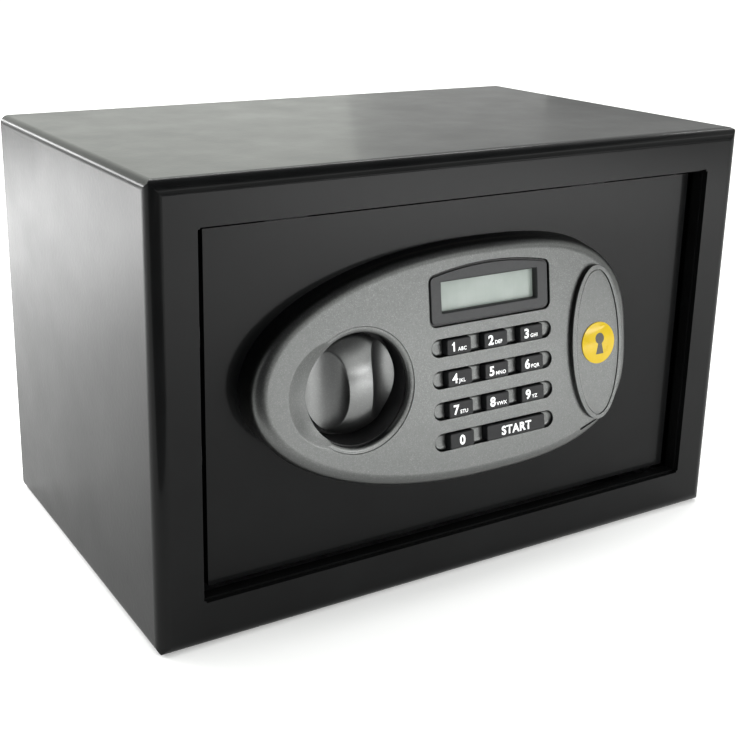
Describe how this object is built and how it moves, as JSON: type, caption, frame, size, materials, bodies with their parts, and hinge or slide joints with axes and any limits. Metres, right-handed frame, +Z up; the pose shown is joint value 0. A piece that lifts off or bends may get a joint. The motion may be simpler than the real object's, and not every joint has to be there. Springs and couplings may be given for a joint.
{
  "type": "in room safe",
  "caption": "Small black steel in room safe with a hinged door, silver egg-shaped keypad panel, turning knob, sliding locking bolts and a lift-off key lock cover.",
  "frame": {"origin": "middle of the base's outline, which includes the control panel's overhang at the front", "axes": "+X along the width to the hinge side, -Y out of the door, +Z up"},
  "size_m": [0.31, 0.2048, 0.2],
  "materials": {
    "black_coat": "glossy black powder coat with a fine orange peel",
    "silver_paint": "satin silver-grey metallic paint with fine flake",
    "dark_plastic": "matt black moulded plastic",
    "bezel_plastic": "satin dark grey plastic",
    "display_glass": "light grey-green liquid crystal panel",
    "key_rubber": "charcoal rubber with white printed characters",
    "badge_enamel": "domed yellow gloss resin",
    "plated_steel": "zinc-plated pressed steel",
    "bright_steel": "turned bright steel",
    "brass": "machined brass",
    "circuit_board": "green solder mask over glass fibre board",
    "coil_wrap": "amber tape over copper winding",
    "felt": "dark grey needle felt",
    "cell_jacket": "plain printed jacket",
    "red_plastic": "red moulded plastic",
    "red_wire": "red insulated wire"
  },
  "bodies": {
    "cabinet": {"cabinet_shell": "black_coat", "back_panel": "black_coat", "hinge_brackets": "plated_steel", "bolt_keeper": "plated_steel", "door_stops": "plated_steel", "floor_mat": "felt"},
    "door": {"door_plate": "black_coat", "hinge_lugs": "plated_steel", "hinge_pins": "bright_steel", "bolt_guide": "plated_steel", "guide_studs": "bright_steel", "spindle_bush": "brass", "cable_grommet": "dark_plastic", "inner_cover": "black_coat", "cover_screws": "bright_steel", "battery_box": "dark_plastic", "batteries": "cell_jacket", "battery_contacts": "bright_steel", "control_board": "circuit_board", "board_posts": "brass", "wiring_harness": "red_wire", "solenoid_frame": "plated_steel", "solenoid_coil": "coil_wrap", "plunger_spring": "bright_steel", "escutcheon": "silver_paint", "escutcheon_screws": "bright_steel", "knob_cup": "dark_plastic", "display_bezel": "bezel_plastic", "display_panel": "display_glass", "keypad_mat": "key_rubber", "keypad_board": "circuit_board", "lock_housing": "bright_steel", "lock_nut": "bright_steel"},
    "knob": {"knob": "silver_paint", "knob_spindle": "plated_steel", "cam_disc": "plated_steel", "cam_pin": "bright_steel", "spindle_screw": "bright_steel"},
    "bolt_work": {"bolt_carriage": "plated_steel", "locking_bolts": "bright_steel", "bolt_screws": "bright_steel"},
    "plunger": {"solenoid_plunger": "bright_steel"},
    "battery_lid": {"battery_cover": "dark_plastic"},
    "reset": {"reset_button": "red_plastic"},
    "key_lock": {"lock_plug": "brass", "lock_cam": "plated_steel"},
    "oval_cover": {"override_cover": "silver_paint", "cover_badge": "badge_enamel"},
    "key_1_cap": {"key_1": "key_rubber"},
    "key_2_cap": {"key_2": "key_rubber"},
    "key_3_cap": {"key_3": "key_rubber"},
    "key_4_cap": {"key_4": "key_rubber"},
    "key_5_cap": {"key_5": "key_rubber"},
    "key_6_cap": {"key_6": "key_rubber"},
    "key_7_cap": {"key_7": "key_rubber"},
    "key_8_cap": {"key_8": "key_rubber"},
    "key_9_cap": {"key_9": "key_rubber"},
    "key_0_cap": {"key_0": "key_rubber"},
    "key_start_cap": {"key_start": "key_rubber"}
  },
  "joints": [
    {"name": "door_swing", "type": "hinge", "parent": "cabinet", "child": "door", "pos_m": [0.126, -0.074, 0.1], "axis": [0, 0, 1], "range_deg": [0, 95]},
    {"name": "knob_turn", "type": "hinge", "parent": "door", "child": "knob", "pos_m": [-0.066, -0.08, 0.1056], "axis": [0, -1, 0], "range_deg": [0, 90]},
    {"name": "bolt_throw", "type": "slide", "parent": "door", "child": "bolt_work", "axis": [-1, 0, 0], "range_m": [0, 0.01698]},
    {"name": "plunger_drop", "type": "slide", "parent": "door", "child": "plunger", "axis": [0, 0, -1], "range_m": [0, 0.00501], "deforming": ["plunger_spring"]},
    {"name": "battery_cover_off", "type": "slide", "parent": "door", "child": "battery_lid", "axis": [0, 1, 0], "range_m": [0, 0.04]},
    {"name": "reset_press", "type": "slide", "parent": "door", "child": "reset", "axis": [0, -1, 0], "range_m": [0, 0.002], "stiffness_N_per_m": 150},
    {"name": "key_lock_turn", "type": "hinge", "parent": "door", "child": "key_lock", "pos_m": [0.0625, -0.08, 0.1], "axis": [0, 1, 0], "range_deg": [0, 90]},
    {"name": "oval_cover_off", "type": "slide", "parent": "door", "child": "oval_cover", "axis": [0, -0.9914, 0.1305], "range_m": [0, 0.03]},
    {"name": "key_1_press", "type": "slide", "parent": "door", "child": "key_1_cap", "axis": [0, 0.9914, -0.1305], "range_m": [0, 0.0012], "stiffness_N_per_m": 250},
    {"name": "key_2_press", "type": "slide", "parent": "door", "child": "key_2_cap", "axis": [0, 0.9914, -0.1305], "range_m": [0, 0.0012], "stiffness_N_per_m": 250},
    {"name": "key_3_press", "type": "slide", "parent": "door", "child": "key_3_cap", "axis": [0, 0.9914, -0.1305], "range_m": [0, 0.0012], "stiffness_N_per_m": 250},
    {"name": "key_4_press", "type": "slide", "parent": "door", "child": "key_4_cap", "axis": [0, 0.9914, -0.1305], "range_m": [0, 0.0012], "stiffness_N_per_m": 250},
    {"name": "key_5_press", "type": "slide", "parent": "door", "child": "key_5_cap", "axis": [0, 0.9914, -0.1305], "range_m": [0, 0.0012], "stiffness_N_per_m": 250},
    {"name": "key_6_press", "type": "slide", "parent": "door", "child": "key_6_cap", "axis": [0, 0.9914, -0.1305], "range_m": [0, 0.0012], "stiffness_N_per_m": 250},
    {"name": "key_7_press", "type": "slide", "parent": "door", "child": "key_7_cap", "axis": [0, 0.9914, -0.1305], "range_m": [0, 0.0012], "stiffness_N_per_m": 250},
    {"name": "key_8_press", "type": "slide", "parent": "door", "child": "key_8_cap", "axis": [0, 0.9914, -0.1305], "range_m": [0, 0.0012], "stiffness_N_per_m": 250},
    {"name": "key_9_press", "type": "slide", "parent": "door", "child": "key_9_cap", "axis": [0, 0.9914, -0.1305], "range_m": [0, 0.0012], "stiffness_N_per_m": 250},
    {"name": "key_0_press", "type": "slide", "parent": "door", "child": "key_0_cap", "axis": [0, 0.9914, -0.1305], "range_m": [0, 0.0012], "stiffness_N_per_m": 250},
    {"name": "key_start_press", "type": "slide", "parent": "door", "child": "key_start_cap", "axis": [0, 0.9914, -0.1305], "range_m": [0, 0.0012], "stiffness_N_per_m": 250}
  ],
  "couplings": [
    {"joint": "bolt_throw", "follows": "knob_turn", "m_per_rad": 0.010804},
    {"joint": "plunger_drop", "follows": "knob_turn", "m_per_rad": 0.0031831}
  ]
}
